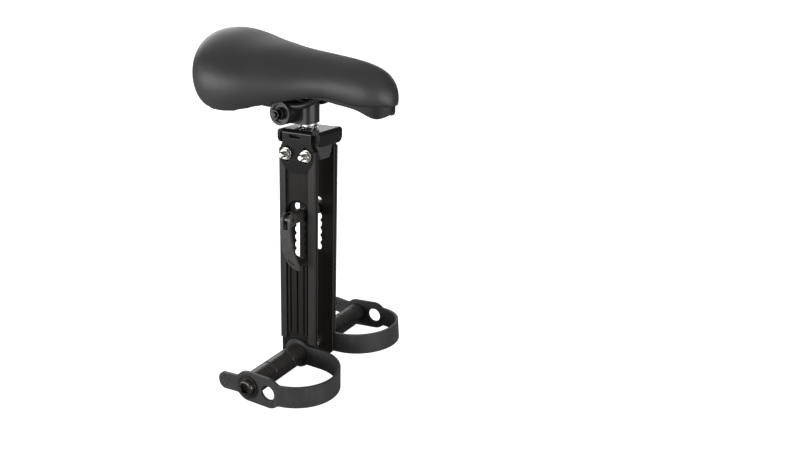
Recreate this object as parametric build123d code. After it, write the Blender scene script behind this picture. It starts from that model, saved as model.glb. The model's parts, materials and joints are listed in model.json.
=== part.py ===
from build123d import *
import math
import os

os.makedirs("parts", exist_ok=True)

# Frame: origin at the middle of the tube pad's underside, where the seat rests on the bicycle's top tube
# +X is forward (saddle nose), +Y is the rider's left, +Z is up; all sizes are in millimetres
# Right-hand pieces are drawn on the -Y side and mirrored for the left

# Clearances
RUN = 0.05
FACE = 0.1
FREE = 0.3

# Bolt and nut sizes
M6_R = 3.0
M6_NUT_FLATS = 10.0
M6_NUT_HEIGHT = 3.2
M6_WASHER_R = 6.2
M6_WASHER_THICK = 1.2
M8_R = 4.0
M8_NUT_FLATS = 13.0
M8_NUT_HEIGHT = 6.5
THREAD_PROUD = 2.0
EAR_BOLT_PROUD = 7.0
NUT_BEVEL = 0.9

# Tube pad between the legs
PAD_LENGTH = 40.0
PAD_FACE_WIDTH = 16.4
PAD_TAPER_HEIGHT = 12.5
PAD_EDGE = 1.0

# Legs
LEG_GAP = 29.0
LEG_WIDTH = 43.6
LEG_DEPTH = 7.5
LEG_TOP = 19.0
LEG_SHOULDER = 9.5
LEG_TOP_FLAT = 27.0
LEG_FLANGE_RISE = 14.5
LEG_TONGUE_DROP = 12.0
LEG_TONGUE_CORNER = 6.5
LEG_EDGE = 0.8
CHANNEL_WIDTH = 28.0
CHANNEL_DEPTH = 3.0
RIB_RISE = 22.5
RIB_RUNOUT = 0.2
RIB_HEIGHT = 2.3
RIB_GROOVE = 2.5
RIB_WIDTH = 6.0
RIB_SIDE_GROOVE = 2.3
RIB_SIDE_WIDTH = 2.4

# Scalloped slot and the pocket round it
LOBE_COUNT = 7
LOBE_PITCH = 8.5
LOBE_TOP = -50.5
LOBE_WIDTH = 14.2
LOBE_HEIGHT = 8.6
SLOT_CORE_WIDTH = 10.6
POCKET_WIDTH = 27.4
POCKET_DEPTH = 2.0
POCKET_END = 11.7

# Top bracket, bent from one plate
PLATE = 3.0
BRACKET_TOP = 30.0
BRACKET_REAR_ROOM = 0.6
BRACKET_FRONT_ROOM = 4.0
FLANGE_LENGTH = 43.0
FLANGE_LOW = 15.0
BEND_R = 3.5
BEND_RELIEF = 1.2
EAR_Z = 5.5
EAR_R = 20.4
EAR_NECK_WIDTH = 34.8
EAR_BOLT_R = 12.0
EAR_SLOT_HALF_DEG = 26.0
EAR_WINDOW_X = -2.0
EAR_WINDOW_Z = 23.6
EAR_WINDOW_WIDTH = 14.0
EAR_WINDOW_HEIGHT = 3.6

# Foot pegs
PEG_Z = -215.0
PEG_R = 11.5
PEG_END = 105.4
PEG_BOSS_R = 7.8
PEG_GROOVES_RIGHT = (44.0, 74.0)
PEG_GROOVES_LEFT = (65.0, 92.0)
PEG_GROOVE_WIDTH = 2.4
PEG_GROOVE_DEPTH = 1.2
PEG_EDGE = 0.8
PEG_HEAD_R = 12.0
PEG_HEAD_FLANGE = 1.6
PEG_DOME_R = 9.0
PEG_DOME_HEIGHT = 4.2
PEG_DOME_ROUND = 3.0
PEG_SOCKET_FLATS = 9.6
PEG_SOCKET_DEPTH = 4.4

# Foot straps
STRAP_THICK = 3.0
STRAP_HEIGHT = 22.0
STRAP_BEND_X = 28.5
STRAP_TILT_RIGHT = 0.5
STRAP_TILT_LEFT = 5.0
STRAP_LOBE_R = 16.0
STRAP_FIT = 0.2
STRAP_SPARE_X = 24.0
STRAP_TAB_END = -38.0
STRAP_TAB_HEIGHT = 18.0
STRAP_TAB_CORNER = 8.0
STRAP_TAB_DROOP_RIGHT = 4.0
STRAP_TAB_DROOP_LEFT = -11.0
STRAP_BLEND = 5.0

# Quick-release skewer
SKEWER_LOBE = 1
ROD_R = 2.5
SLEEVE_R = 5.0
CUP_R = 7.0
CUP_THICK = 5.2
CAM_R = 6.5
CAM_WIDTH = 11.6
CAM_OUT = 36.0
CAM_PIN_R = 2.0
EYE_R = 4.6
EYE_WIDTH = 5.4
LEVER_THICK = 4.0
LEVER_FORK = 9.5
LEVER_LEFT_EDGE = ((-6.6, -9.0), (-6.8, -18.0), (-5.9, -28.0), (-3.2, -41.0), (1.2, -48.5), (6.0, -52.0))
LEVER_TIP = (12.3, -53.0)
LEVER_RIGHT_EDGE = ((10.8, -44.0), (8.5, -36.0), (6.5, -25.0), (5.5, -14.7))
LEVER_BOW = ((4.5, 0.0), (4.3, -12.0), (2.9, -30.0), (0.4, -45.0), (-1.5, -54.0))
LEVER_SLOT = ((0.9, -43.0), (6.6, -48.0))
LEVER_SLOT_WIDTH = 1.6
SKEWER_NUT_FLATS = 14.0
SKEWER_NUT_LENGTH = 10.0

# Seat post and saddle clamp
POST_R = 9.0
POST_WALL = 2.0
POST_TOP = 58.0
POST_WELD = 1.4
BAND_LOW = 34.0
BAND_HIGH = 58.0
BAND_THICK = 2.15
CLAMP_BOLT_ROOM = 5.0
CLAMP_R = 12.0
CLAMP_GRIP_GAP = 0.6
CLAMP_INNER_THICK = 8.4
CLAMP_OUTER_THICK = 6.7
CLAMP_DISH_R = 9.0
CLAMP_DISH_DEPTH = 2.0
CLAMP_BOSS = 5.4
CLAMP_NUT_HEIGHT = 5.2
RAIL_R = 3.5
RAIL_RISE = 7.6

# Saddle stations: X, half width, then heights above the rails: on the middle, of the widest line,
# of the pad's lower edge and of the base's edge
SADDLE_STATIONS = (
    (-119.5, 20.0, 47.4, 30.4, 18.4, 22.4),
    (-114.0, 42.0, 61.4, 28.9, 8.6, 12.4),
    (-100.0, 60.0, 71.5, 27.4, 0.9, 3.1),
    (-78.0, 69.0, 71.0, 26.4, -5.4, -2.6),
    (-52.0, 66.0, 63.4, 24.4, -5.1, -3.1),
    (-28.0, 55.0, 58.4, 23.4, 0.8, 2.2),
    (-5.0, 42.0, 54.4, 22.4, 5.4, 6.4),
    (20.0, 32.0, 51.6, 21.4, 10.2, 10.0),
    (46.0, 27.0, 48.7, 20.4, 8.6, 5.8),
    (70.0, 25.0, 44.1, 18.4, 4.6, 0.8),
    (87.0, 19.5, 36.4, 15.0, 6.0, -5.0),
    (97.0, 9.5, 24.0, 11.4, 5.2, 2.4),
)
SADDLE_REAR_TIP = (-121.5, 31.4)
SADDLE_NOSE_TIP = (99.8, 11.8)
SADDLE_FULLNESS = 2.1
SADDLE_TUCK = 0.82
PAD_OVER_NOSE = 3.0
BASE_INSET = 2.0
BASE_WALL = 3.0
BASE_REAR = -113.0
BASE_NOSE = 96.5
RAIL_FRONT = (35.0, 8.0)
RAIL_REAR = (-86.0, 24.0)
RAIL_STRAIGHT = (-34.0, -4.0)
RAIL_SOCKET_WALL = 3.5

# Values that follow from the sizes above
LEG_IN = LEG_GAP / 2
LEG_OUT = LEG_IN + LEG_DEPTH
LEG_FLOOR = LEG_OUT - CHANNEL_DEPTH
POCKET_FLOOR = LEG_FLOOR - POCKET_DEPTH
EAR_IN = LEG_FLOOR + FACE
EAR_OUT = EAR_IN + PLATE
BRACKET_UNDER = BRACKET_TOP - PLATE
BRACKET_REAR = -PAD_LENGTH / 2 - BRACKET_REAR_ROOM - PLATE
BRACKET_FRONT = PAD_LENGTH / 2 + BRACKET_FRONT_ROOM + PLATE
LEG_FLANGE_END = PEG_Z + LEG_FLANGE_RISE
SKEWER_Z = LOBE_TOP - SKEWER_LOBE * LOBE_PITCH
LOBE_LOW = LOBE_TOP - (LOBE_COUNT - 1) * LOBE_PITCH
POCKET_HIGH = LOBE_TOP + CUP_R + 2 * FREE
POCKET_LOW = LOBE_LOW - POCKET_END
RIB_LOW = PEG_Z + RIB_RISE
RIB_HIGH = POCKET_LOW + RIB_RUNOUT
EAR_POCKET_R = EAR_R + FREE
STRAP_IN = LEG_FLOOR + FACE
PEG_START = STRAP_IN + STRAP_THICK + FACE
STRAP_OUT = PEG_END + FACE
PEG_BOSS_END = STRAP_OUT + STRAP_THICK + FACE
STRAP_HOLE_R = PEG_BOSS_R + STRAP_FIT
CUP_IN = POCKET_FLOOR + FACE
BAND_IN = POST_R + RUN
BAND_OUT = BAND_IN + BAND_THICK
CLAMP_X = -(POST_R + M6_R + CLAMP_BOLT_ROOM)
CLAMP_Z = (BAND_LOW + BAND_HIGH) / 2
CLAMP_INNER_IN = BAND_OUT + FACE
RAIL_Y = CLAMP_INNER_IN + CLAMP_INNER_THICK + CLAMP_GRIP_GAP / 2
RAIL_Z = CLAMP_Z + RAIL_RISE
CLAMP_OUTER_IN = RAIL_Y + CLAMP_GRIP_GAP / 2
CLAMP_OUTER_OUT = CLAMP_OUTER_IN + CLAMP_OUTER_THICK
CLAMP_DISH = CLAMP_OUTER_OUT - CLAMP_DISH_DEPTH
CLAMP_NUT_IN = CLAMP_DISH + CLAMP_BOSS + FACE
BASE_TOP = RAIL_Z + SADDLE_STATIONS[-1][2] - PAD_OVER_NOSE
RAIL_SOCKET = RAIL_R + RAIL_SOCKET_WALL
RAIL_END_Z = BASE_TOP - RAIL_SOCKET


# Helpers
def slab(outline, near, far):
    """Extrude an X-Z outline on the right-hand side, between two distances from the middle."""
    return extrude(Plane.XZ.offset(near) * outline, amount=far - near)


def bar(radius, near, far, x=0.0, z=0.0):
    """Round bar along Y on the right-hand side."""
    return slab(Pos(x, z) * Circle(radius), near, far)


def cross_bar(radius, length, y, z):
    """Round bar along X, centred on the middle plane."""
    return Pos(0, y, z) * Rot(0, 90, 0) * Cylinder(radius, length)


def hex_nut(flats, height, hole_r, near, x=0.0, z=0.0):
    """Hexagon nut on the right-hand side, its corners chamfered on the outer face."""
    corner_r = flats / math.sqrt(3)
    nut = bar(corner_r, near, near + height, x, z)
    outer = nut.edges().filter_by(GeomType.CIRCLE).sort_by(Axis.Y)[0]
    nut = chamfer(outer, (corner_r - flats / 2) * NUT_BEVEL)
    nut &= slab(Pos(x, z) * RegularPolygon(corner_r, 6), near, near + height)
    return nut - bar(hole_r, near - 1, near + height + 1, x, z)


def left(shape):
    """Mirror a right-hand piece to the left."""
    return mirror(shape, about=Plane.XZ)


def save(name, *shapes):
    """Write one named node, as one solid or a group of separate solids."""
    solids = [s for shape in shapes for s in shape.solids()]
    node = solids[0] if len(solids) == 1 else Compound(children=solids)
    node.label = name
    export_step(node, f"parts/{name}.step")


# Tube pad: rubber block whose underside rests on the tube
pad_side = LEG_IN - FREE
pad_outline = make_face(
    Polyline(
        (-PAD_FACE_WIDTH / 2, 0),
        (PAD_FACE_WIDTH / 2, 0),
        (pad_side, PAD_TAPER_HEIGHT),
        (pad_side, BRACKET_UNDER),
        (-pad_side, BRACKET_UNDER),
        (-pad_side, PAD_TAPER_HEIGHT),
        close=True,
    )
)
tube_pad = extrude(Plane.YZ.offset(-PAD_LENGTH / 2) * pad_outline, amount=PAD_LENGTH)
pad_corners = tube_pad.edges().filter_by(Axis.Z)
tube_pad = fillet(pad_corners, PAD_EDGE)

# Top bracket: two channels bent from one plate, front to rear and side to side, with relieved corners
def bent_channel(start, end, low):
    """Outline of a plate bent down along both sides, with rounded bends."""
    height = BRACKET_TOP - low
    middle = (start + end) / 2
    outer = Pos(middle, low + height / 2) * Rectangle(end - start, height)
    outer = fillet(outer.vertices().group_by(Axis.Y)[-1], BEND_R)
    inner = Pos(middle, low + (height - PLATE) / 2) * Rectangle(end - start - 2 * PLATE, height - PLATE)
    return outer - inner


flange_outline = bent_channel(BRACKET_REAR, BRACKET_FRONT, FLANGE_LOW)
flanges = extrude(Plane.XZ * flange_outline, amount=FLANGE_LENGTH / 2, both=True)
flange_corners = flanges.edges().filter_by(Axis.X).group_by(Axis.Z)[0]
flanges = fillet(flange_corners, 2 * BEND_R)
relief_from = EAR_OUT - BEND_R
relief = Rectangle(EAR_NECK_WIDTH + 2 * BEND_RELIEF, FLANGE_LENGTH)
relief -= Rectangle(EAR_NECK_WIDTH + 2 * BEND_RELIEF, 2 * relief_from)
flanges -= extrude(Plane.XY.offset(BRACKET_UNDER) * relief, amount=PLATE)
ear_outline = Pos(0, EAR_Z) * Circle(EAR_R)
ear_outline += Pos(0, (EAR_Z + BRACKET_TOP) / 2) * Rectangle(EAR_NECK_WIDTH, BRACKET_TOP - EAR_Z)
ear_outline -= Pos(EAR_WINDOW_X, EAR_WINDOW_Z) * Rectangle(EAR_WINDOW_WIDTH, EAR_WINDOW_HEIGHT)
for start in (0, 180):
    arc = CenterArc((0, EAR_Z), EAR_BOLT_R, start - EAR_SLOT_HALF_DEG, 2 * EAR_SLOT_HALF_DEG)
    ear_outline -= SlotArc(arc, 2 * (M6_R + FREE))
ears = extrude(Plane.YZ * bent_channel(-EAR_OUT, EAR_OUT, EAR_Z - EAR_R), amount=EAR_R, both=True)
ears &= slab(ear_outline, -EAR_OUT, EAR_OUT)
top_bracket = flanges + ears

# Seat post stub, a tube with a weld round its foot
post_wall = Plane.XZ * make_face(
    Polyline(
        (POST_R - POST_WALL, BRACKET_TOP),
        (POST_R + POST_WELD, BRACKET_TOP),
        (POST_R, BRACKET_TOP + POST_WELD),
        (POST_R, POST_TOP),
        (POST_R - POST_WALL, POST_TOP),
        close=True,
    )
)
seat_post = revolve(post_wall, Axis.Z)

# Legs: shallow channel extrusions with ribs below, a milled scalloped slot and a pocket for the ear
leg_outline = make_face(
    Polyline(
        (-LEG_WIDTH / 2, LEG_FLANGE_END),
        (LEG_WIDTH / 2, LEG_FLANGE_END),
        (LEG_WIDTH / 2, LEG_SHOULDER),
        (LEG_TOP_FLAT / 2, LEG_TOP),
        (-LEG_TOP_FLAT / 2, LEG_TOP),
        (-LEG_WIDTH / 2, LEG_SHOULDER),
        close=True,
    )
)
leg = slab(leg_outline, LEG_IN, LEG_OUT)
leg = fillet(leg.edges().filter_by(Axis.Z), LEG_EDGE)
leg_height = LEG_TOP - LEG_FLANGE_END
channel_mid = (LEG_TOP + LEG_FLANGE_END) / 2
leg -= slab(Pos(0, channel_mid) * Rectangle(CHANNEL_WIDTH, leg_height), LEG_FLOOR, LEG_OUT)
tongue_height = LEG_FLANGE_END - PEG_Z + LEG_TONGUE_DROP
tongue = Pos(0, LEG_FLANGE_END - tongue_height / 2) * Rectangle(LEG_WIDTH, tongue_height)
tongue = fillet(tongue.vertices().group_by(Axis.Y)[0], LEG_TONGUE_CORNER)
leg += slab(tongue, LEG_IN, LEG_FLOOR)
rib_x = RIB_GROOVE / 2 + RIB_WIDTH / 2
side_rib_x = RIB_GROOVE / 2 + RIB_WIDTH + RIB_SIDE_GROOVE + RIB_SIDE_WIDTH / 2
rib_length = RIB_HIGH - RIB_LOW
rib_mid = (RIB_HIGH + RIB_LOW) / 2
for side in (-1, 1):
    rib = Pos(side * rib_x, rib_mid) * Rectangle(RIB_WIDTH, rib_length)
    side_rib = Pos(side * side_rib_x, rib_mid) * Rectangle(RIB_SIDE_WIDTH, rib_length)
    leg += slab(rib, LEG_FLOOR, LEG_FLOOR + RIB_HEIGHT)
    leg += slab(side_rib, LEG_FLOOR, LEG_FLOOR + RIB_HEIGHT)
ear_pocket = Pos(0, EAR_Z) * Circle(EAR_POCKET_R)
ear_pocket += Pos(0, (EAR_Z + LEG_TOP) / 2) * Rectangle(2 * EAR_POCKET_R, LEG_TOP - EAR_Z)
leg -= slab(ear_pocket, LEG_FLOOR, LEG_OUT)
slot_pocket = Rot(0, 0, 90) * SlotOverall(POCKET_HIGH - POCKET_LOW, POCKET_WIDTH)
leg -= slab(Pos(0, (POCKET_HIGH + POCKET_LOW) / 2) * slot_pocket, POCKET_FLOOR, LEG_OUT)
slot = Pos(0, (LOBE_TOP + LOBE_LOW) / 2) * Rectangle(SLOT_CORE_WIDTH, LOBE_TOP - LOBE_LOW)
for k in range(LOBE_COUNT):
    slot += Pos(0, LOBE_TOP - k * LOBE_PITCH) * SlotOverall(LOBE_WIDTH, LOBE_HEIGHT)
leg -= slab(slot, LEG_IN, LEG_OUT)

# Ear bolts with countersunk heads flush in the legs, washers and nuts outside the ears
ear_washer_in = EAR_OUT + FACE
ear_nut_in = ear_washer_in + M6_WASHER_THICK
ear_bolt_end = ear_nut_in + M6_NUT_HEIGHT + EAR_BOLT_PROUD
ear_bolts = []
ear_washers = []
ear_nuts = []
for x in (-EAR_BOLT_R, EAR_BOLT_R):
    head_profile = make_face(
        Polyline(
            (0, LEG_IN),
            (2 * M6_R, LEG_IN),
            (M6_R, LEG_IN + M6_R),
            (M6_R, ear_bolt_end - M6_R / 4),
            (M6_R * 3 / 4, ear_bolt_end),
            (0, ear_bolt_end),
            close=True,
        )
    )
    turned = revolve(Plane.XZ * head_profile, Axis.Z)
    bolt = Pos(x, 0, EAR_Z) * Rot(90, 0, 0) * turned
    leg -= bolt
    washer = bar(M6_WASHER_R, ear_washer_in, ear_nut_in, x, EAR_Z)
    washer -= bar(M6_R + RUN, ear_washer_in - 1, ear_nut_in + 1, x, EAR_Z)
    nut = hex_nut(M6_NUT_FLATS, M6_NUT_HEIGHT, M6_R + RUN, ear_nut_in, x, EAR_Z)
    ear_bolts += [bolt, left(bolt)]
    ear_washers += [washer, left(washer)]
    ear_nuts += [nut, left(nut)]
leg -= bar(M8_R + RUN, LEG_IN - 1, LEG_OUT, 0, PEG_Z)

# Foot pegs, turned, with a boss at each end that fills the strap's holes
def turned_peg(grooves):
    """One foot peg with its marking grooves at the given distances from the middle."""
    profile = make_face(
        Polyline(
            (M8_R + RUN, LEG_FLOOR),
            (PEG_BOSS_R, LEG_FLOOR),
            (PEG_BOSS_R, PEG_START),
            (PEG_R - PEG_EDGE, PEG_START),
            (PEG_R, PEG_START + PEG_EDGE),
            (PEG_R, PEG_END - PEG_EDGE),
            (PEG_R - PEG_EDGE, PEG_END),
            (PEG_BOSS_R, PEG_END),
            (PEG_BOSS_R, PEG_BOSS_END),
            (M8_R + RUN, PEG_BOSS_END),
            close=True,
        )
    )
    for y in grooves:
        profile -= make_face(
            Polyline(
                (PEG_R, y - PEG_GROOVE_WIDTH / 2),
                (PEG_R - PEG_GROOVE_DEPTH, y),
                (PEG_R, y + PEG_GROOVE_WIDTH / 2),
                close=True,
            )
        )
    return Pos(0, 0, PEG_Z) * Rot(90, 0, 0) * revolve(Plane.XZ * profile, Axis.Z)


peg_right = turned_peg(PEG_GROOVES_RIGHT)
peg_left = left(turned_peg(PEG_GROOVES_LEFT))

# Peg bolts: flanged dome heads with a hexagon socket, nuts on the inner faces of the legs
peg_bolt_tip = LEG_IN - M8_NUT_HEIGHT - THREAD_PROUD
dome_from = PEG_BOSS_END + PEG_HEAD_FLANGE
peg_head = bar(PEG_HEAD_R, PEG_BOSS_END, dome_from, 0, PEG_Z)
peg_dome = bar(PEG_DOME_R, dome_from, dome_from + PEG_DOME_HEIGHT, 0, PEG_Z)
dome_rim = peg_dome.edges().filter_by(GeomType.CIRCLE).sort_by(Axis.Y)[0]
peg_dome = fillet(dome_rim, PEG_DOME_ROUND)
peg_bolt = bar(M8_R, peg_bolt_tip, PEG_BOSS_END, 0, PEG_Z) + peg_head + peg_dome
socket = Pos(0, PEG_Z) * RegularPolygon(PEG_SOCKET_FLATS / math.sqrt(3), 6)
peg_head_end = dome_from + PEG_DOME_HEIGHT
peg_bolt -= slab(socket, peg_head_end - PEG_SOCKET_DEPTH, peg_head_end)
peg_nut = mirror(hex_nut(M8_NUT_FLATS, M8_NUT_HEIGHT, M8_R + RUN, -LEG_IN, 0, PEG_Z), about=Plane.XZ)

# Foot straps: one rubber band from the inner end of the peg round the foot to the peg's outer end
def blended(outline):
    """Round the hollow corners of a strap's outline, where its lobes run into the band and the tab."""
    corners = []
    for v in outline.vertices():
        along = -STRAP_LOBE_R < v.X < STRAP_SPARE_X + STRAP_LOBE_R
        if along and abs(v.Y) < STRAP_LOBE_R - STRAP_BLEND / 2:
            corners.append(v)
    return fillet(corners, STRAP_BLEND)


def foot_strap(tilt, droop):
    """Strap on the right-hand side, its front raised by tilt degrees and its free tab lowered by droop."""
    mid_in = STRAP_IN + STRAP_THICK / 2
    mid_out = STRAP_OUT + STRAP_THICK / 2
    loop_r = (mid_out - mid_in) / 2
    loop_y = (mid_out + mid_in) / 2
    reach = STRAP_BEND_X + loop_r + STRAP_THICK
    plan = Circle(loop_r + STRAP_THICK / 2) - Circle(loop_r - STRAP_THICK / 2)
    plan = Pos(STRAP_BEND_X, -loop_y) * plan
    plan &= Pos(STRAP_BEND_X + reach / 2, -loop_y) * Rectangle(reach, 2 * reach)
    for start, y in ((-STRAP_LOBE_R, mid_in), (STRAP_TAB_END, mid_out)):
        plan += Pos((start + STRAP_BEND_X) / 2, -y) * Rectangle(STRAP_BEND_X - start, STRAP_THICK)
    strip = extrude(Plane.XY.offset(-STRAP_LOBE_R) * plan, amount=2 * STRAP_LOBE_R)
    band = Pos(reach / 2, 0) * Rectangle(reach, STRAP_HEIGHT)
    tab = Pos(STRAP_TAB_END / 2, 0) * Rectangle(-STRAP_TAB_END, STRAP_TAB_HEIGHT)
    tab = fillet(tab.vertices().group_by(Axis.X)[0], STRAP_TAB_CORNER)
    lobes = Pos(STRAP_SPARE_X / 2, 0) * SlotCenterToCenter(STRAP_SPARE_X, 2 * STRAP_LOBE_R)
    hole = Circle(STRAP_HOLE_R)
    inner_end = blended(band + Circle(STRAP_LOBE_R)) - hole
    outer_end = blended(band + lobes + Rot(0, 0, droop) * tab) - hole
    outer_end -= Pos(STRAP_SPARE_X, 0) * hole
    strap = strip & slab(inner_end, 0, loop_y)
    strap += strip & slab(outer_end, loop_y, 2 * loop_y)
    return Pos(0, 0, PEG_Z) * Rot(0, -tilt, 0) * strap


strap_right = foot_strap(STRAP_TILT_RIGHT, STRAP_TAB_DROOP_RIGHT)
strap_left = left(foot_strap(STRAP_TILT_LEFT, STRAP_TAB_DROOP_LEFT))

# Skewer: rod with an eye for the cam pin, sleeve between the legs, cup washers in the pockets
cup_out = CUP_IN + CUP_THICK
skewer_nut_in = cup_out + FACE
skewer_nut_out = skewer_nut_in + SKEWER_NUT_LENGTH
skewer_rod = bar(ROD_R, -skewer_nut_out - THREAD_PROUD, CAM_OUT - EYE_R / 2, 0, SKEWER_Z)
skewer_rod += cross_bar(EYE_R, EYE_WIDTH, -CAM_OUT, SKEWER_Z)
skewer_rod -= cross_bar(CAM_PIN_R + RUN, 2 * EYE_WIDTH, -CAM_OUT, SKEWER_Z)
sleeve_end = LEG_IN - FREE
skewer_sleeve = bar(SLEEVE_R, -sleeve_end, sleeve_end, 0, SKEWER_Z)
skewer_sleeve -= bar(ROD_R + RUN, -LEG_IN, LEG_IN, 0, SKEWER_Z)
cup = bar(CUP_R, CUP_IN, CAM_OUT - CAM_R / 2, 0, SKEWER_Z)
cup_right = cup - cross_bar(CAM_R + FREE, 4 * CUP_R, -CAM_OUT, SKEWER_Z)
cup_right -= bar(ROD_R + RUN, CUP_IN - 1, CAM_OUT, 0, SKEWER_Z)
cup_left = bar(CUP_R, CUP_IN, cup_out, 0, SKEWER_Z) - bar(ROD_R + RUN, CUP_IN - 1, cup_out + 1, 0, SKEWER_Z)
cup_left = left(cup_left)
skewer_nut = left(hex_nut(SKEWER_NUT_FLATS, SKEWER_NUT_LENGTH, ROD_R + RUN, skewer_nut_in, 0, SKEWER_Z))

# Cam lever: two cam cheeks on the pin and a bowed arm that runs off the cam and hangs beside the leg
lever = cross_bar(CAM_R, CAM_WIDTH, -CAM_OUT, SKEWER_Z)
arm_root = CAM_WIDTH / 2
arm_outline = make_face(
    Spline((-arm_root, 0), *LEVER_LEFT_EDGE, LEVER_TIP)
    + Spline(LEVER_TIP, *LEVER_RIGHT_EDGE, (arm_root, 0))
    + Line((arm_root, 0), (-arm_root, 0))
)
arm_outline -= SlotCenterPoint(
    [(a + b) / 2 for a, b in zip(*LEVER_SLOT)], LEVER_SLOT[1], LEVER_SLOT_WIDTH
)
bow_outer = [(-CAM_OUT - out - LEVER_THICK / 2, z) for out, z in LEVER_BOW]
bow_inner = [(-CAM_OUT - out + LEVER_THICK / 2, z) for out, z in LEVER_BOW]
bow = make_face(
    Spline(*bow_outer)
    + Spline(*bow_inner)
    + Line(bow_outer[0], bow_inner[0])
    + Line(bow_outer[-1], bow_inner[-1])
)
arm = slab(arm_outline, CAM_OUT - 2 * CAM_R, CAM_OUT + 2 * CAM_R)
arm &= extrude(Plane.YZ * bow, amount=2 * CAM_WIDTH, both=True)
lever += Pos(0, 0, SKEWER_Z) * arm
fork = Pos(0, SKEWER_Z) * Rectangle(EYE_WIDTH + 2 * FREE, 2 * LEVER_FORK)
lever -= slab(fork, CAM_OUT - 2 * CAM_R, CAM_OUT + 2 * CAM_R)
lever -= cross_bar(CAM_PIN_R, 2 * CAM_WIDTH, -CAM_OUT, SKEWER_Z)
cam_pin = cross_bar(CAM_PIN_R, CAM_WIDTH, -CAM_OUT, SKEWER_Z)

# Saddle clamp band: a strip bent round the post, with its ends side by side behind it
strip_tail = CLAMP_X - (BAND_HIGH - BAND_LOW) / 2
strip = Circle(BAND_OUT) - Circle(BAND_IN)
strip -= Pos(-BAND_OUT / 2, 0) * Rectangle(BAND_OUT, 2 * BAND_OUT)
for side in (-1, 1):
    strip_y = side * (BAND_IN + BAND_OUT) / 2
    strip += Pos(strip_tail / 2, strip_y) * Rectangle(-strip_tail, BAND_THICK)
clamp_band = extrude(Plane.XY.offset(BAND_LOW) * strip, amount=BAND_HIGH - BAND_LOW)
band_side = SlotOverall(4 * BAND_OUT, BAND_HIGH - BAND_LOW)
clamp_band &= slab(Pos(strip_tail + 2 * BAND_OUT, CLAMP_Z) * band_side, -BAND_OUT, BAND_OUT)
clamp_band -= bar(M6_R + RUN, -2 * BAND_OUT, 2 * BAND_OUT, CLAMP_X, CLAMP_Z)

# Rails: round bars that run through the clamp and rise to sockets in the base
rail_back, rail_front = RAIL_STRAIGHT
rail_path = Line((rail_back, -RAIL_Y, RAIL_Z), (rail_front, -RAIL_Y, RAIL_Z))
rail_path += Spline(
    (rail_front, -RAIL_Y, RAIL_Z),
    (RAIL_FRONT[0], -RAIL_FRONT[1], RAIL_END_Z),
    tangents=((1, 0, 0), (1, 0, 0)),
)
rail_path += Spline(
    (RAIL_REAR[0], -RAIL_REAR[1], RAIL_END_Z),
    (rail_back, -RAIL_Y, RAIL_Z),
    tangents=((1, 0, 0), (1, 0, 0)),
)
rail_start = Plane((RAIL_REAR[0], -RAIL_REAR[1], RAIL_END_Z), z_dir=(1, 0, 0))
rail = sweep(rail_start * Circle(RAIL_R), path=rail_path)

# Rail clamp halves, bolt and nuts
grip = Pos(0, -RAIL_Y, RAIL_Z) * Rot(0, 90, 0) * Cylinder(RAIL_R, 8 * CLAMP_R)
clamp_inner = bar(CLAMP_R, CLAMP_INNER_IN, CLAMP_INNER_IN + CLAMP_INNER_THICK, CLAMP_X, CLAMP_Z) - grip
clamp_inner -= bar(M6_R + RUN, 0, 2 * RAIL_Y, CLAMP_X, CLAMP_Z)
clamp_outer = bar(CLAMP_R, CLAMP_OUTER_IN, CLAMP_OUTER_OUT, CLAMP_X, CLAMP_Z) - grip
clamp_outer -= bar(CLAMP_DISH_R, CLAMP_DISH, CLAMP_OUTER_OUT + 1, CLAMP_X, CLAMP_Z)
clamp_outer += bar(M6_WASHER_R, CLAMP_DISH, CLAMP_DISH + CLAMP_BOSS, CLAMP_X, CLAMP_Z)
clamp_outer -= bar(M6_R + RUN, 0, 2 * RAIL_Y, CLAMP_X, CLAMP_Z)
clamp_nut = hex_nut(M6_NUT_FLATS, CLAMP_NUT_HEIGHT, M6_R + RUN, CLAMP_NUT_IN, CLAMP_X, CLAMP_Z)
clamp_bolt_end = CLAMP_NUT_IN + CLAMP_NUT_HEIGHT + THREAD_PROUD
clamp_bolt = bar(M6_R, -clamp_bolt_end, clamp_bolt_end, CLAMP_X, CLAMP_Z)


# Saddle: lofted pad with a moulded base let into its underside
def saddle_section(half_width, top, widest, low):
    """Full rounded section of the pad: flat below, tucked in at the lower edge."""
    power = 2 / SADDLE_FULLNESS
    side = [(half_width * SADDLE_TUCK, low), (half_width * (1 + SADDLE_TUCK) / 2, (low * 3 + widest) / 4)]
    for angle in (0, 25, 50, 70):
        c = math.cos(math.radians(angle)) ** power
        s = math.sin(math.radians(angle)) ** power
        side.append((half_width * c, widest + (top - widest) * s))
    across = side + [(0, top)] + [(-y, z) for y, z in reversed(side)]
    return make_face(Spline(*across) + Line(across[-1], across[0]))


def base_plan(inset):
    """Plan outline of the base, a share of the pad's width less an inset all round."""
    near = [(x, w * SADDLE_TUCK - inset) for x, w, *_ in SADDLE_STATIONS[2:-1]]
    far = [(x, -y) for x, y in reversed(near)]
    rear = (BASE_REAR - BASE_INSET + inset, 0)
    nose = (BASE_NOSE + BASE_INSET - inset, 0)
    return make_face(Spline(rear, *near, nose, *far, periodic=True))


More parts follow.
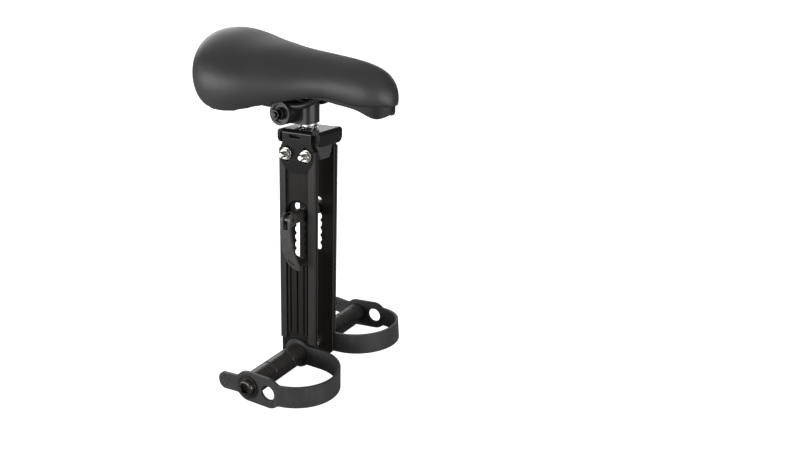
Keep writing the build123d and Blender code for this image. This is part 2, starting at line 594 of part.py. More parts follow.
sections = [
    Plane.YZ.offset(x) * saddle_section(w, RAIL_Z + top, RAIL_Z + widest, RAIL_Z + low)
    for x, w, top, widest, low, _ in SADDLE_STATIONS
]
rear_tip = Vertex(SADDLE_REAR_TIP[0], 0, RAIL_Z + SADDLE_REAR_TIP[1])
nose_tip = Vertex(SADDLE_NOSE_TIP[0], 0, RAIL_Z + SADDLE_NOSE_TIP[1])
saddle_pad = loft([rear_tip, *[s.face() for s in sections], nose_tip])
plan = base_plan(BASE_INSET)
saddle_pad -= extrude(plan, amount=BASE_TOP)
base_edge = [(x, RAIL_Z + edge) for x, *_, edge in SADDLE_STATIONS]
base_side = make_face(
    Spline(*base_edge)
    + Polyline(base_edge[-1], (base_edge[-1][0], BASE_TOP), (base_edge[0][0], BASE_TOP), base_edge[0])
)
base_reach = 2 * max(w for _, w, *_ in SADDLE_STATIONS)
saddle_base = extrude(plan, amount=BASE_TOP) & slab(base_side, -base_reach, base_reach)
saddle_base -= extrude(base_plan(BASE_INSET + BASE_WALL), amount=BASE_TOP - BASE_WALL)
for x, y in (RAIL_FRONT, RAIL_REAR):
    for side in (-1, 1):
        boss = Pos(x, side * y, RAIL_END_Z) * Rot(0, 90, 0) * Cylinder(RAIL_SOCKET, 4 * RAIL_SOCKET)
        keep = Pos(x, 0, RAIL_END_Z) * Box(8 * RAIL_SOCKET, base_reach, 2 * RAIL_SOCKET)
        saddle_base += boss & keep
saddle_base -= rail
saddle_base -= left(rail)

# Nodes
save("saddle_pad", saddle_pad)
save("saddle_base", saddle_base)
save("saddle_rail_right", rail)
save("saddle_rail_left", left(rail))
save("clamp_band", clamp_band)
save("clamp_inner_right", clamp_inner)
save("clamp_inner_left", left(clamp_inner))
save("clamp_outer_right", clamp_outer)
save("clamp_outer_left", left(clamp_outer))
save("clamp_bolt", clamp_bolt)
save("clamp_nuts", clamp_nut, left(clamp_nut))
save("seat_post", seat_post)
save("top_bracket", top_bracket)
save("tube_pad", tube_pad)
save("leg_right", leg)
save("leg_left", left(leg))
save("ear_bolts", *ear_bolts)
save("ear_washers", *ear_washers)
save("ear_nuts", *ear_nuts)
save("peg_right", peg_right)
save("peg_left", peg_left)
save("peg_bolt_right", peg_bolt)
save("peg_bolt_left", left(peg_bolt))
save("peg_nut_right", peg_nut)
save("peg_nut_left", left(peg_nut))
save("strap_right", strap_right)
save("strap_left", strap_left)
save("skewer_rod", skewer_rod)
save("skewer_sleeve", skewer_sleeve)
save("cup_right", cup_right)
save("cup_left", cup_left)
save("skewer_nut", skewer_nut)
save("cam_lever", lever)
save("cam_pin", cam_pin)
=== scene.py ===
import json
import math

import bpy
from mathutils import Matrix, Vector
from mathutils.bvhtree import BVHTree

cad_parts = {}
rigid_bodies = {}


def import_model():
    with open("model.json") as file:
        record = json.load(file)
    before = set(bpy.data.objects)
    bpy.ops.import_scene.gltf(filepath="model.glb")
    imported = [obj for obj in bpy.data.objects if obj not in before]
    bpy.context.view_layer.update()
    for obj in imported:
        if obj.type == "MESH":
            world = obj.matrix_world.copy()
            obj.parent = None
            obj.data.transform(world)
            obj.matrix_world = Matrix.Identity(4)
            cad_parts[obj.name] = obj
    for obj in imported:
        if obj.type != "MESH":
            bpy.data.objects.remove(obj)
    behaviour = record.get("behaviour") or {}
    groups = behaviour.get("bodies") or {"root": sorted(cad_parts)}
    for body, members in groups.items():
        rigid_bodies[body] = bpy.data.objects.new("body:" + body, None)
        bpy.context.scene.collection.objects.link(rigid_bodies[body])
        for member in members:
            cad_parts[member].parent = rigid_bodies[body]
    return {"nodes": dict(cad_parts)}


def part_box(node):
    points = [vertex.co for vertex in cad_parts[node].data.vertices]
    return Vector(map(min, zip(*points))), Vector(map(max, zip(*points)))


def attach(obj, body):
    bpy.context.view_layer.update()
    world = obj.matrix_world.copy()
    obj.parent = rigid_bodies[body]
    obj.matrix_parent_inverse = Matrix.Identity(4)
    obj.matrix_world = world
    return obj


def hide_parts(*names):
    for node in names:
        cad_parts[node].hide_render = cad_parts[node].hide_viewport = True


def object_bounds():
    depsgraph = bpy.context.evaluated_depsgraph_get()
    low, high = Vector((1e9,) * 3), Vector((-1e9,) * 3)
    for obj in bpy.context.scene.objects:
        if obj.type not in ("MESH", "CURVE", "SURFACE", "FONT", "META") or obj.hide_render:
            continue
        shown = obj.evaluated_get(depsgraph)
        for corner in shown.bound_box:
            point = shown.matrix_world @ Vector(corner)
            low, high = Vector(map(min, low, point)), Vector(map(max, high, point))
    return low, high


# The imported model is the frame: everything below is in metres, in its frame
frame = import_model()
cad_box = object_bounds()
nodes = frame["nodes"]
MM = 0.001

# Camera, worked out from the photograph
CAMERA_PLACE = (0.42923, -0.63986, 0.17741)
CAMERA_VIEW = (-0.53121, 0.79188, -0.30124)
CAMERA_LENS = 34.54
CAMERA_SENSOR = 36.0
CAMERA_SHIFT = (0.1142, -0.0097)
CAMERA_CLIP = (0.01, 200.0)

# Mesh work: how near doubles lie, how flat a joined face is, and how sharp an edge is before it is broken
MERGE = 0.002 * MM
FLAT = math.radians(0.5)
SHARP = math.radians(40.0)
LEVEL_NORMAL = 0.99

# Saddle cover: its mesh, the cloth it swells as (mass is per point) and the block that stands for the base
COVER_VOXEL = 3.0 * MM
COVER_CLOTH = {
    "quality": 6,
    "mass": 0.001,
    "tension_stiffness": 12.0,
    "compression_stiffness": 12.0,
    "shear_stiffness": 6.0,
    "bending_stiffness": 4.0,
    "use_pressure": True,
    "uniform_pressure_force": 40.0,
}
COVER_HELD_NORMAL = -0.7
COVER_FRAMES = 20
COVER_CAP = 2.5 * MM
COVER_START = -0.4 * MM
COVER_EASE = 3
COVER_SMOOTH = 50.0
LINING_REACH = 0.2 * MM
BLOCK_ROOM = 0.25 * MM
BLOCK_DEPTH = 45.0 * MM

# Strap dimples on both faces of the tab: along and across it from the peg's axis, and each tab's droop
DIMPLES = ((-33.6, 1.9), (-28.8, 4.9), (-29.3, 0.5), (-24.6, 1.9), (-32.3, -4.0), (-26.9, -3.8))
TAB_DROOP = {"right": math.radians(4.5), "left": math.radians(-6.0)}
DIMPLE_R = 1.35 * MM
DIMPLE_DEPTH = 1.1 * MM
TAB_THICK = 3.0 * MM
SOFT_EDGE = 0.5 * MM
LEVER_EDGE = 0.6 * MM

# Legs: distances from the middle planes over which the painted highlight on the outer faces begins, and the
# painted shade in the pocket begins and ends
LEG_PAINTED_HIGHLIGHT = (21.2 * MM, 21.7 * MM)
POCKET_SHADE_FLOOR = (16.3 * MM, 16.7 * MM)
POCKET_SHADE_MOUTH = (18.8 * MM, 18.4 * MM)

# Bump depths
GRAIN_DEPTH = 0.1 * MM
PEBBLE_DEPTH = 0.12 * MM

# Screw threads: bolt radii and pitches, the ridge's size against its pitch, and the turns that show
M5_R = 2.5 * MM
M5_PITCH = 0.8 * MM
M6_R = 3.0 * MM
M6_PITCH = 1.0 * MM
M8_R = 4.0 * MM
M8_PITCH = 1.25 * MM
THREAD_FORM = 0.5
THREAD_HEIGHT = 0.14 * MM
THREAD_STEPS = 32
EAR_TURNS = 5
END_TURNS = 1

# Studio
FLOOR_SIZE = 60.0
FLOOR_DROP = 0.4 * MM
FLOOR_GLOW = 1.0
SKY = 0.16
OVERHEAD = 0.7
OVERHEAD_SPREAD = 90.0
CARDS = (
    ("rear_card", (-1.5, 1.0, 1.0), (-0.05, 0.0, 0.1), 1.2, 1.2, 17.0),
    ("near_card", (-0.7, -1.4, 0.02), (-0.05, 0.0, 0.02), 2.2, 0.4, 28.0),
    ("front_card", (1.6, -0.5, 0.02), (0.0, 0.0, 0.02), 1.6, 0.4, 22.0),
    ("backdrop", (-14.0, 20.0, 7.0), (0.0, 0.0, 7.0), 40.0, 5.0, 1150.0),
)


# Working on one object at a time
def only(obj):
    """Make one object the selected and active one."""
    bpy.ops.object.select_all(action="DESELECT")
    obj.select_set(True)
    bpy.context.view_layer.objects.active = obj


def begin_edit(obj, kind="FACE"):
    """Open an object in edit mode with nothing selected."""
    only(obj)
    bpy.ops.object.mode_set(mode="EDIT")
    bpy.ops.mesh.select_mode(type=kind)
    bpy.ops.mesh.select_all(action="DESELECT")


def end_edit():
    """Go back to object mode."""
    bpy.ops.object.mode_set(mode="OBJECT")


def select_faces(obj, test):
    """Select the faces whose place and normal pass a test, and open the object in edit mode."""
    begin_edit(obj)
    end_edit()
    for face in obj.data.polygons:
        face.select = test(face.center, face.normal)
    bpy.ops.object.mode_set(mode="EDIT")


def finish_with(obj, kind, **settings):
    """Add a modifier, set it and apply it."""
    only(obj)
    modifier = obj.modifiers.new(kind.lower(), kind)
    for key, value in settings.items():
        setattr(modifier, key, value)
    bpy.ops.object.modifier_apply(modifier=modifier.name)


def settle(obj, name):
    """Put an object's place into its mesh and name it."""
    only(obj)
    bpy.ops.object.transform_apply(location=True, rotation=True, scale=True)
    obj.name = name
    obj.data.name = name
    return obj


def cad_copy(node, name):
    """A copy of a CAD node's mesh as a new object, with its loose triangles merged."""
    only(nodes[node])
    bpy.ops.object.duplicate()
    copy = bpy.context.active_object
    bpy.ops.object.parent_clear(type="CLEAR_KEEP_TRANSFORM")
    copy.name = name
    copy.data.name = name
    for key in list(copy.keys()):
        del copy[key]
    begin_edit(copy, "VERT")
    bpy.ops.mesh.select_all(action="SELECT")
    bpy.ops.mesh.customdata_custom_splitnormals_clear()
    bpy.ops.mesh.remove_doubles(threshold=MERGE)
    end_edit()
    return copy


def flat_faces(obj):
    """Join the triangles of each flat face into one face."""
    begin_edit(obj)
    bpy.ops.mesh.select_all(action="SELECT")
    bpy.ops.mesh.dissolve_limited(angle_limit=FLAT)
    end_edit()


def break_edges(obj, width):
    """Round off the edges where faces meet sharply."""
    finish_with(
        obj, "BEVEL", width=width, segments=3, limit_method="ANGLE", angle_limit=SHARP, use_clamp_overlap=True
    )


def smooth(obj, angle=35.0):
    """Smooth shading with sharp edges kept."""
    only(obj)
    bpy.ops.object.shade_smooth_by_angle(angle=math.radians(angle))


# Shader building
def group(name, inputs, outputs):
    """A new shader node group with named sockets; gives the tree and its two end nodes."""
    tree = bpy.data.node_groups.new(name, "ShaderNodeTree")
    for label, kind, value in inputs:
        socket = tree.interface.new_socket(label, in_out="INPUT", socket_type=kind)
        socket.default_value = value
    for label, kind in outputs:
        tree.interface.new_socket(label, in_out="OUTPUT", socket_type=kind)
    return tree, tree.nodes.new("NodeGroupInput"), tree.nodes.new("NodeGroupOutput")


def add(tree, kind, settings=None, **sockets):
    """Add a node, set its properties, and set or link its sockets."""
    made = tree.nodes.new(kind)
    for key, value in (settings or {}).items():
        setattr(made, key, value)
    for key, value in sockets.items():
        socket = made.inputs[int(key[1:])] if key[0] == "_" else made.inputs[key.replace("_", " ")]
        if isinstance(value, bpy.types.NodeSocket):
            tree.links.new(value, socket)
        else:
            socket.default_value = value
    return made


def ramp(tree, value, low, high):
    """Spread a value between two limits over 0 to 1."""
    return add(tree, "ShaderNodeMapRange", _0=value, _1=low, _2=high).outputs[0]


def grain_group():
    """Fine grain: a height for bump and a mask, on Object coordinates stretched by choice."""
    tree, given, out = group(
        "fine_grain",
        [("Scale", "NodeSocketFloat", 800.0), ("Stretch", "NodeSocketVector", (1.0, 1.0, 1.0)),
         ("Detail", "NodeSocketFloat", 3.0)],
        [("Height", "NodeSocketFloat"), ("Mask", "NodeSocketFloat")],
    )
    place = add(tree, "ShaderNodeTexCoord").outputs["Object"]
    spread = add(
        tree, "ShaderNodeVectorMath", {"operation": "MULTIPLY"}, _0=place, _1=given.outputs["Stretch"]
    )
    noise = add(
        tree, "ShaderNodeTexNoise",
        Vector=spread.outputs[0], Scale=given.outputs["Scale"], Detail=given.outputs["Detail"],
        Roughness=0.6,
    )
    tree.links.new(noise.outputs[0], out.inputs["Height"])
    tree.links.new(ramp(tree, noise.outputs[0], 0.35, 0.65), out.inputs["Mask"])
    return tree


def edge_group():
    """Rounded edges: a normal softened over edges and a mask of where the edges are."""
    tree, given, out = group(
        "soft_edges",
        [("Radius", "NodeSocketFloat", 0.6 * MM)],
        [("Normal", "NodeSocketVector"), ("Mask", "NodeSocketFloat")],
    )
    bevel = add(tree, "ShaderNodeBevel", {"samples": 6}, Radius=given.outputs["Radius"])
    flat = add(tree, "ShaderNodeNewGeometry").outputs["Normal"]
    dot = add(tree, "ShaderNodeVectorMath", {"operation": "DOT_PRODUCT"}, _0=bevel.outputs[0], _1=flat)
    tree.links.new(bevel.outputs[0], out.inputs["Normal"])
    tree.links.new(ramp(tree, dot.outputs["Value"], 0.995, 0.9), out.inputs["Mask"])
    return tree


def pebble_group():
    """Pressed leather grain: cells of uneven size with soft valleys."""
    tree, given, out = group(
        "pressed_grain",
        [("Scale", "NodeSocketFloat", 900.0)],
        [("Height", "NodeSocketFloat"), ("Mask", "NodeSocketFloat")],
    )
    place = add(tree, "ShaderNodeTexCoord").outputs["Object"]
    warp = add(tree, "ShaderNodeTexNoise", Vector=place, Scale=300.0, Detail=2.0)
    shift = add(
        tree, "ShaderNodeVectorMath", {"operation": "SCALE"}, _0=warp.outputs["Color"], Scale=1.2 * MM
    )
    moved = add(tree, "ShaderNodeVectorMath", {"operation": "ADD"}, _0=place, _1=shift.outputs[0])
    cells = add(
        tree, "ShaderNodeTexVoronoi", {"feature": "SMOOTH_F1"},
        Vector=moved.outputs[0], Scale=given.outputs["Scale"], Smoothness=0.6,
    )
    height = ramp(tree, cells.outputs["Distance"], 0.9, 0.0)
    tree.links.new(height, out.inputs["Height"])
    tree.links.new(ramp(tree, cells.outputs["Distance"], 0.35, 0.8), out.inputs["Mask"])
    return tree


def leg_painted_light_group():
    """Masks for painted light on a leg: a painted highlight on its outermost faces and painted shade in the
    pocket round its slot.
    """
    tree, _, out = group("leg_painted_light", [], [("PaintedHighlight", "NodeSocketFloat"), ("PaintedShade", "NodeSocketFloat")])
    place = add(tree, "ShaderNodeTexCoord").outputs["Object"]
    parts = add(tree, "ShaderNodeSeparateXYZ", Vector=place).outputs
    along = add(tree, "ShaderNodeMath", {"operation": "ABSOLUTE"}, _0=parts["X"]).outputs[0]
    across = add(tree, "ShaderNodeMath", {"operation": "ABSOLUTE"}, _0=parts["Y"]).outputs[0]
    # Painted highlight: the outermost faces
    outer = add(
        tree, "ShaderNodeMath", {"operation": "MAXIMUM"},
        _0=ramp(tree, along, *LEG_PAINTED_HIGHLIGHT), _1=ramp(tree, across, *LEG_PAINTED_HIGHLIGHT),
    )
    # Painted shade: the pocket round the slot
    pocket = add(
        tree, "ShaderNodeMath", {"operation": "MULTIPLY"},
        _0=ramp(tree, across, *POCKET_SHADE_FLOOR), _1=ramp(tree, across, *POCKET_SHADE_MOUTH),
    )
    tree.links.new(outer.outputs[0], out.inputs["PaintedHighlight"])
    tree.links.new(pocket.outputs[0], out.inputs["PaintedShade"])
    return tree


GRAIN = grain_group()
EDGES = edge_group()
PEBBLES = pebble_group()
LEG_PAINTED_LIGHT = leg_painted_light_group()


def use(tree, shared, **sockets):
    """Place a shared node group in a material with its own values."""
    made = tree.nodes.new("ShaderNodeGroup")
    made.node_tree = shared
    for key, value in sockets.items():
        made.inputs[key].default_value = value
    return made.outputs


def start(name, **constants):
    """A new material with its Principled shader; constant values go on the shader's own sockets."""
    made = bpy.data.materials.new(name)
    made.use_nodes = True
    tree = made.node_tree
    shader = tree.nodes["Principled BSDF"]
    for key, value in constants.items():
        shader.inputs[key.replace("_", " ")].default_value = value
    return made, tree, shader


def tint(tree, shader, mask, low, high):
    """Colour the surface between two colours by a mask."""
    mixed = add(tree, "ShaderNodeMix", {"data_type": "RGBA"}, _0=mask, _6=(*low, 1.0), _7=(*high, 1.0))
    tree.links.new(mixed.outputs[2], shader.inputs["Base Color"])


def vary(tree, shader, mask, low, high):
    """Let the roughness run between two values by a mask."""
    spread = add(tree, "ShaderNodeMapRange", _0=mask, _3=low, _4=high)
    tree.links.new(spread.outputs[0], shader.inputs["Roughness"])


def raise_by(tree, shader, height, strength, distance, normal=None):
    """Bump the surface by a height."""
    bump = add(tree, "ShaderNodeBump", Height=height, Strength=strength, Distance=distance)
    if normal is not None:
        tree.links.new(normal, bump.inputs["Normal"])
    tree.links.new(bump.outputs[0], shader.inputs["Normal"])


# Materials
def saddle_vinyl():
    """Soft matte black vinyl with a fine pressed grain."""
    made, tree, shader = start("saddle_vinyl", Specular_IOR_Level=0.48)
    pebble = use(tree, PEBBLES, Scale=1100.0)
    cloud = use(tree, GRAIN, Scale=22.0, Detail=4.0)
    tint(tree, shader, cloud["Mask"], (0.017, 0.0166, 0.0171), (0.022, 0.0215, 0.022))
    vary(tree, shader, cloud["Height"], 0.47, 0.56)
    raise_by(tree, shader, pebble["Height"], 0.12, PEBBLE_DEPTH)
    return made


def moulded_base():
    """Black moulded plastic with a spark-eroded surface."""
    made, tree, shader = start("moulded_base", Specular_IOR_Level=0.22)
    spark = use(tree, GRAIN, Scale=1600.0, Detail=2.0)
    edge = use(tree, EDGES, Radius=0.5 * MM)
    tint(tree, shader, edge["Mask"], (0.0075, 0.0073, 0.0075), (0.022, 0.0215, 0.022))
    vary(tree, shader, spark["Mask"], 0.42, 0.6)
    raise_by(tree, shader, spark["Height"], 0.2, GRAIN_DEPTH, edge["Normal"])
    return made


def black_coat(name, colour, edge_tone, rough, peel, gloss):
    """Black stove enamel on steel, with an orange-peel surface and paler edges."""
    made, tree, shader = start(name, Specular_IOR_Level=gloss)
    skin = use(tree, GRAIN, Scale=420.0, Detail=2.0)
    cloud = use(tree, GRAIN, Scale=30.0, Detail=4.0)
    edge = use(tree, EDGES, Radius=0.7 * MM)
    # The edges are painted paler by the edge mask
    tint(tree, shader, edge["Mask"], colour, edge_tone)
    vary(tree, shader, cloud["Height"], rough * 0.8, rough * 1.25)
    raise_by(tree, shader, skin["Height"], peel, GRAIN_DEPTH, edge["Normal"])
    return made


def anodised(name, low, high, stretch, rough, line_depth, gloss, lined=0.5):
    """Black anodised aluminium with fine lines along the way it was drawn or turned."""
    made, tree, shader = start(name, Metallic=0.2, Specular_IOR_Level=gloss)
    lines = use(tree, GRAIN, Scale=260.0, Stretch=stretch, Detail=5.0)
    cloud = use(tree, GRAIN, Scale=26.0, Detail=4.0)
    edge = use(tree, EDGES, Radius=0.6 * MM)
    mixed = add(
        tree, "ShaderNodeMath", {"operation": "MULTIPLY_ADD"},
        _0=lines["Mask"], _1=lined, _2=edge["Mask"],
    )
    tint(tree, shader, mixed.outputs[0], low, high)
    vary(tree, shader, cloud["Height"], rough * 0.85, rough * 1.2)
    raise_by(tree, shader, lines["Height"], line_depth, GRAIN_DEPTH, edge["Normal"])
    return made


def leg_alloy():
    """The legs' drawn alloy, with its outermost faces painted paler as a highlight and the milled pocket
    painted blacker as shade.
    """
    made = anodised(
        "drawn_alloy", (0.013, 0.0115, 0.0103), (0.036, 0.0335, 0.0315), (1.0, 1.0, 0.01),
        0.36, 0.03, 0.1, 0.2,
    )
    tree = made.node_tree
    base = tree.nodes["Principled BSDF"].inputs["Base Color"]
    faces = use(tree, LEG_PAINTED_LIGHT)
    colour = base.links[0].from_socket
    # Painted highlight on the outer faces, then painted shade in the pocket
    for mask, shade in (("PaintedHighlight", (0.034, 0.0325, 0.0315, 1.0)), ("PaintedShade", (0.004, 0.0036, 0.0034, 1.0))):
        mixed = add(tree, "ShaderNodeMix", {"data_type": "RGBA"}, _0=faces[mask], _6=colour, _7=shade)
        colour = mixed.outputs[2]
    tree.links.new(colour, base)
    return made


def bare_metal(name, low, high, rough, stretch=(1.0, 1.0, 1.0), scale=500.0):
    """Bare or plated metal, a little uneven."""
    made, tree, shader = start(name, Metallic=1.0)
    lines = use(tree, GRAIN, Scale=scale, Stretch=stretch, Detail=4.0)
    cloud = use(tree, GRAIN, Scale=90.0, Detail=3.0)
    edge = use(tree, EDGES, Radius=0.4 * MM)
    tint(tree, shader, cloud["Mask"], low, high)
    vary(tree, shader, lines["Height"], rough * 0.7, rough * 1.4)
    raise_by(tree, shader, lines["Height"], 0.05, GRAIN_DEPTH, edge["Normal"])
    return made


def rubber(name, low, high, rough, scale=1400.0):
    """Matte moulded rubber with a dusty fine grain."""
    made, tree, shader = start(name, Specular_IOR_Level=0.4)
    speck = use(tree, GRAIN, Scale=scale, Detail=2.0)
    cloud = use(tree, GRAIN, Scale=45.0, Detail=4.0)
    edge = use(tree, EDGES, Radius=0.5 * MM)
    tint(tree, shader, cloud["Mask"], low, high)
    vary(tree, shader, speck["Mask"], rough * 0.88, rough * 1.1)
    raise_by(tree, shader, speck["Height"], 0.12, GRAIN_DEPTH, edge["Normal"])
    return made


def floor_paper():
    """Plain pale paper, lit through to white where the camera sees it."""
    made, tree, shader = start("floor_paper", Specular_IOR_Level=0.1)
    fibre = use(tree, GRAIN, Scale=60.0, Detail=3.0)
    tint(tree, shader, fibre["Mask"], (0.45, 0.45, 0.45), (0.46, 0.46, 0.46))
    vary(tree, shader, fibre["Mask"], 0.85, 0.95)
    seen = add(tree, "ShaderNodeLightPath").outputs["Is Camera Ray"]
    glow = add(tree, "ShaderNodeMath", {"operation": "MULTIPLY"}, _0=seen, _1=FLOOR_GLOW)
    tree.links.new(glow.outputs[0], shader.inputs["Emission Strength"])
    return made


VINYL = saddle_vinyl()
BASE = moulded_base()
ENAMEL = black_coat("gloss_enamel", (0.0055, 0.0049, 0.0046), (0.05, 0.047, 0.045), 0.15, 0.04, 0.22)
CLAMP = black_coat("clamp_enamel", (0.010, 0.010, 0.0103), (0.03, 0.029, 0.0285), 0.3, 0.08, 0.32)
DRAWN = leg_alloy()
TURNED = anodised(
    "turned_alloy", (0.024, 0.0222, 0.0212), (0.08, 0.074, 0.07), (0.02, 1.6, 0.02), 0.34, 0.1, 0.3
)
LEVER = anodised(
    "forged_alloy", (0.044, 0.04, 0.0378), (0.082, 0.0765, 0.0725), (1.0, 1.0, 1.0), 0.4, 0.05, 0.4
)
BRONZED = bare_metal("bronzed_steel", (0.05, 0.046, 0.043), (0.075, 0.069, 0.065), 0.3)
BLACKED = bare_metal("blacked_steel", (0.024, 0.0228, 0.0222), (0.04, 0.038, 0.037), 0.3)
ZINC = bare_metal("zinc_plate", (0.5, 0.485, 0.455), (0.66, 0.645, 0.61), 0.26)
CHROME = bare_metal("chrome_plate", (0.78, 0.78, 0.79), (0.84, 0.84, 0.845), 0.09, (1.0, 1.0, 0.05), 700.0)
PAD_RUBBER = rubber("pad_rubber", (0.034, 0.034, 0.0348), (0.046, 0.046, 0.047), 0.72, 900.0)
STRAP_RUBBER = rubber("strap_rubber", (0.022, 0.0212, 0.0218), (0.029, 0.028, 0.0287), 0.5)

FINISHES = {
    BASE: ("saddle_base",),
    CLAMP: (
        "saddle_rail_right", "saddle_rail_left", "clamp_band",
        "clamp_inner_right", "clamp_inner_left", "clamp_outer_right", "clamp_outer_left",
    ),
    ENAMEL: ("top_bracket",),
    CHROME: ("seat_post",),
    PAD_RUBBER: ("tube_pad",),
    DRAWN: ("leg_right", "leg_left"),
    TURNED: ("peg_right", "peg_left", "cup_right", "cup_left"),
    BRONZED: ("peg_bolt_right", "peg_bolt_left", "skewer_rod", "cam_pin"),
    BLACKED: ("clamp_bolt", "clamp_nuts"),
    STRAP_RUBBER: ("skewer_sleeve",),
    ZINC: ("ear_bolts", "ear_washers", "ear_nuts", "peg_nut_right", "peg_nut_left", "skewer_nut"),
}


def paint(obj, finish):
    """Give an object one material."""
    obj.data.materials.clear()
    obj.data.materials.append(finish)


# Saddle cover: the pad's outer form, swollen as cloth, then cut out for the base
def base_block():
    """A block of the base's plan, from the base's top down past the pad's underside."""
    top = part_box("saddle_base")[1].z
    block = cad_copy("saddle_base", "base_block")
    select_faces(block, lambda place, normal: normal.z <= LEVEL_NORMAL or place.z <= top - LINING_REACH)
    bpy.ops.mesh.delete(type="FACE")
    bpy.ops.mesh.select_all(action="SELECT")
    bpy.ops.mesh.dissolve_limited(angle_limit=FLAT)
    bpy.ops.mesh.select_all(action="SELECT")
    bpy.ops.mesh.extrude_region_move(TRANSFORM_OT_translate={"value": (0, 0, -BLOCK_DEPTH)})
    bpy.ops.mesh.select_all(action="SELECT")
    bpy.ops.mesh.normals_make_consistent(inside=False)
    end_edit()
    return block


def closed_form(block):
    """The pad's outer form, with the recess for the base taken out and its mouth filled in."""
    points = [v.co for v in block.data.vertices]
    walls = BVHTree.FromPolygons(points, [p.vertices for p in block.data.polygons])
    cover = cad_copy("saddle_pad", "saddle_cover")
    select_faces(cover, lambda place, normal: walls.find_nearest(place, LINING_REACH)[0] is not None)
    bpy.ops.mesh.delete(type="FACE")
    bpy.ops.mesh.select_all(action="SELECT")
    bpy.ops.mesh.fill_holes(sides=0)
    end_edit()
    return cover


def inflate(cover):
    """Swell the cover from inside as cloth held at its underside, with no point moving past the cap."""
    rest = [v.co.copy() for v in cover.data.vertices]
    under = cover.vertex_groups.new(name="under")
    held = [v.index for v in cover.data.vertices if v.normal.z < COVER_HELD_NORMAL]
    under.add(held, 1.0, "REPLACE")
    only(cover)
    cloth = cover.modifiers.new("cloth", "CLOTH")
    for key, value in COVER_CLOTH.items():
        setattr(cloth.settings, key, value)
    cloth.settings.vertex_group_mass = under.name
    cloth.settings.effector_weights.gravity = 0.0
    cloth.collision_settings.use_collision = False
    cloth.point_cache.frame_start = 1
    cloth.point_cache.frame_end = COVER_FRAMES
    for step in range(1, COVER_FRAMES + 1):
        bpy.context.scene.frame_set(step)
    bpy.ops.object.modifier_apply(modifier=cloth.name)
    bpy.context.scene.frame_set(1)
    for vertex, before in zip(cover.data.vertices, rest):
        step = vertex.co - before
        if step.length > COVER_CAP:
            vertex.co = before + step.normalized() * COVER_CAP
    cover.vertex_groups.clear()


def saddle_cover():
    """The padded cover of the saddle."""
    block = base_block()
    cover = closed_form(block)
    only(cover)
    cover.data.remesh_voxel_size = COVER_VOXEL
    bpy.ops.object.voxel_remesh()
    finish_with(cover, "SMOOTH", factor=0.5, iterations=COVER_EASE)
    begin_edit(cover, "VERT")
    bpy.ops.mesh.select_all(action="SELECT")
    bpy.ops.transform.shrink_fatten(value=COVER_START)
    end_edit()
    inflate(cover)
    finish_with(cover, "SMOOTH", factor=0.5, iterations=COVER_EASE)
    finish_with(cover, "SUBSURF", levels=1, render_levels=1)
    begin_edit(block, "VERT")
    bpy.ops.mesh.select_all(action="SELECT")
    bpy.ops.transform.shrink_fatten(value=BLOCK_ROOM)
    end_edit()
    finish_with(cover, "BOOLEAN", operation="DIFFERENCE", object=block, solver="EXACT")
    bpy.data.objects.remove(block)
    smooth(cover, COVER_SMOOTH)
    paint(cover, VINYL)
    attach(cover, "saddle")
    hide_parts("saddle_pad")


# Foot straps: the CAD bands with dimpled tabs and soft edges
def dimple_cutter(side):
    """Flattened balls that stand in the tab's two faces, six in each."""
    low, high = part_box("strap_" + side)
    faces = (low.y, low.y + TAB_THICK) if side == "right" else (high.y, high.y - TAB_THICK)
    peg_low, peg_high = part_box("peg_" + side)
    axis = (peg_low.z + peg_high.z) / 2
    bpy.ops.object.select_all(action="DESELECT")
    balls = []
    along, across = math.cos(TAB_DROOP[side]), math.sin(TAB_DROOP[side])
    for face in faces:
        for x, z in DIMPLES:
            place = ((x * along - z * across) * MM, face, axis + (x * across + z * along) * MM)
            bpy.ops.mesh.primitive_uv_sphere_add(segments=16, ring_count=8, radius=DIMPLE_R, location=place)
            ball = bpy.context.active_object
            ball.scale = (1.0, DIMPLE_DEPTH / DIMPLE_R, 1.0)
            balls.append(ball)
    for ball in balls:
        ball.select_set(True)
    bpy.ops.object.join()
    return settle(bpy.context.active_object, "dimple_cutter")


def foot_strap(side):
    """One rubber foot strap."""
    strap = cad_copy("strap_" + side, "foot_strap_" + side)
    flat_faces(strap)
    cutter = dimple_cutter(side)
    finish_with(strap, "BOOLEAN", operation="DIFFERENCE", object=cutter, solver="EXACT")
    bpy.data.objects.remove(cutter)
    break_edges(strap, SOFT_EDGE)
    smooth(strap)
    paint(strap, STRAP_RUBBER)
    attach(strap, "legs")
    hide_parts("strap_" + side)


# Cam lever with rounded edges
def cam_lever():
    """The forged lever, its edges broken."""
    lever = cad_copy("cam_lever", "cam_lever_forged")
    flat_faces(lever)
    break_edges(lever, LEVER_EDGE)
    smooth(lever)
    paint(lever, LEVER)
    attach(lever, "lever")
    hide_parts("cam_lever")


# Screw threads on the bolt ends that show
def wound_ridge(radius, pitch, turns):
    """A right-handed ridge wound round a bolt, from its tip at the origin up along Z."""
    bpy.ops.object.select_all(action="DESELECT")
    bpy.ops.mesh.primitive_circle_add(
        vertices=3, radius=pitch * THREAD_FORM, rotation=(math.radians(90), math.radians(90), 0)
    )
    ridge = bpy.context.active_object
    ridge.location = (radius + THREAD_HEIGHT - pitch * THREAD_FORM, 0, pitch)
    settle(ridge, "ridge")
    finish_with(
        ridge, "SCREW", axis="Z", screw_offset=pitch, iterations=turns, steps=THREAD_STEPS,
        render_steps=THREAD_STEPS, use_merge_vertices=False,
    )
    begin_edit(ridge)
    bpy.ops.mesh.select_all(action="SELECT")
    bpy.ops.mesh.fill_holes(sides=0)
    bpy.ops.mesh.select_all(action="SELECT")
    bpy.ops.mesh.normals_make_consistent(inside=False)
    end_edit()
    smooth(ridge)
    return ridge


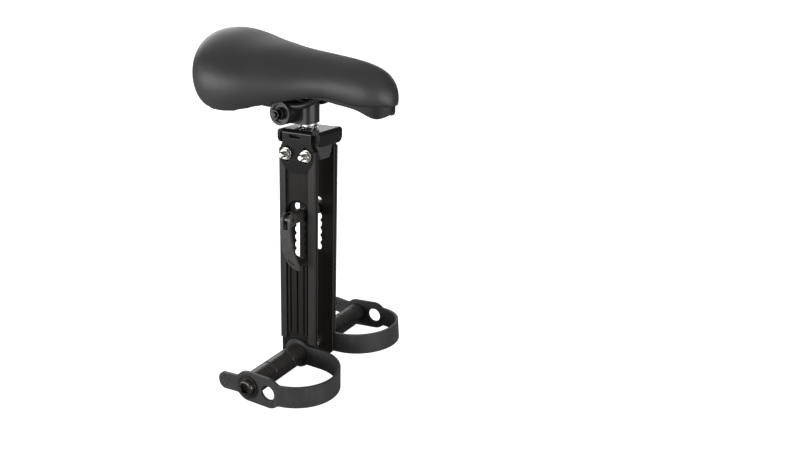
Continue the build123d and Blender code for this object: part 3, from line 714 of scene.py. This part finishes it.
def cut_thread(ridge, name, body, tip, inward, finish):
    """A copy of a ridge on a bolt's end, from its tip inwards along Y."""
    only(ridge)
    bpy.ops.object.duplicate()
    thread = bpy.context.active_object
    thread.rotation_euler = (math.radians(-90) * inward, 0, 0)
    thread.location = tip
    settle(thread, name)
    paint(thread, finish)
    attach(thread, body)


def bolt_tip(node, side):
    """The middle of a bolt's end, on the side given by the sign of Y."""
    low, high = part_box(node)
    return Vector(((low.x + high.x) / 2, low.y if side < 0 else high.y, (low.z + high.z) / 2))


def threads():
    """Threads on the ear bolts, the saddle clamp's bolt, the peg bolts and the skewer."""
    long_m6 = wound_ridge(M6_R, M6_PITCH, EAR_TURNS)
    ear_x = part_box("ear_bolts")[1].x - 2 * M6_R
    for side, hand in ((-1, "right"), (1, "left")):
        for end, place in ((-1, "rear"), (1, "front")):
            tip = bolt_tip("ear_bolts", side) + Vector((end * ear_x, 0, 0))
            cut_thread(long_m6, f"ear_thread_{place}_{hand}", "legs", tip, -side, ZINC)
    short_m6 = wound_ridge(M6_R, M6_PITCH, END_TURNS)
    m8 = wound_ridge(M8_R, M8_PITCH, END_TURNS)
    for side, hand in ((-1, "right"), (1, "left")):
        tip = bolt_tip("clamp_bolt", side)
        cut_thread(short_m6, "clamp_thread_" + hand, "saddle", tip, -side, BLACKED)
        tip = bolt_tip("peg_bolt_" + hand, -side)
        cut_thread(m8, "peg_thread_" + hand, "legs", tip, side, BRONZED)
    m5 = wound_ridge(M5_R, M5_PITCH, END_TURNS)
    cut_thread(m5, "skewer_thread", "skewer", bolt_tip("skewer_rod", 1), -1, BRONZED)
    for ridge in (long_m6, short_m6, m8, m5):
        bpy.data.objects.remove(ridge)


# Studio: floor, lights and camera
def studio():
    """Pale floor, soft lights and the camera at the photograph's angle."""
    floor_z = cad_box[0].z - FLOOR_DROP
    bpy.ops.object.select_all(action="DESELECT")
    bpy.ops.mesh.primitive_plane_add(size=FLOOR_SIZE, location=(0, 0, floor_z))
    floor = settle(bpy.context.active_object, "floor")
    paint(floor, floor_paper())

    world = bpy.data.worlds.new("studio")
    world.use_nodes = True
    sky = world.node_tree.nodes["Background"]
    sky.inputs["Color"].default_value = (1.0, 1.0, 1.0, 1.0)
    seen = add(world.node_tree, "ShaderNodeLightPath").outputs["Is Camera Ray"]
    shown = add(world.node_tree, "ShaderNodeMapRange", _0=seen, _3=SKY, _4=1.0)
    world.node_tree.links.new(shown.outputs[0], sky.inputs["Strength"])
    bpy.context.scene.world = world

    bpy.ops.object.light_add(type="SUN", location=(0, 0, 2))
    dome = bpy.context.active_object
    dome.name = "overhead"
    dome.data.energy = OVERHEAD
    dome.data.angle = math.radians(OVERHEAD_SPREAD)
    for name, place, aim, width, height, power in CARDS:
        bpy.ops.object.light_add(type="AREA", location=place)
        card = bpy.context.active_object
        card.name = name
        card.data.shape = "RECTANGLE"
        card.data.size = width
        card.data.size_y = height
        card.data.energy = power
        card.rotation_euler = (Vector(aim) - Vector(place)).to_track_quat("-Z", "Y").to_euler()

    bpy.ops.object.camera_add(location=CAMERA_PLACE)
    camera = bpy.context.active_object
    camera.rotation_euler = Vector(CAMERA_VIEW).to_track_quat("-Z", "Y").to_euler()
    camera.data.sensor_width = CAMERA_SENSOR
    camera.data.lens = CAMERA_LENS
    camera.data.shift_x, camera.data.shift_y = CAMERA_SHIFT
    camera.data.clip_start, camera.data.clip_end = CAMERA_CLIP
    bpy.context.scene.camera = camera
    bpy.context.scene.view_settings.view_transform = "Standard"


for finish, names in FINISHES.items():
    for node in names:
        paint(nodes[node], finish)

saddle_cover()
for side in ("right", "left"):
    foot_strap(side)
cam_lever()
threads()
studio()
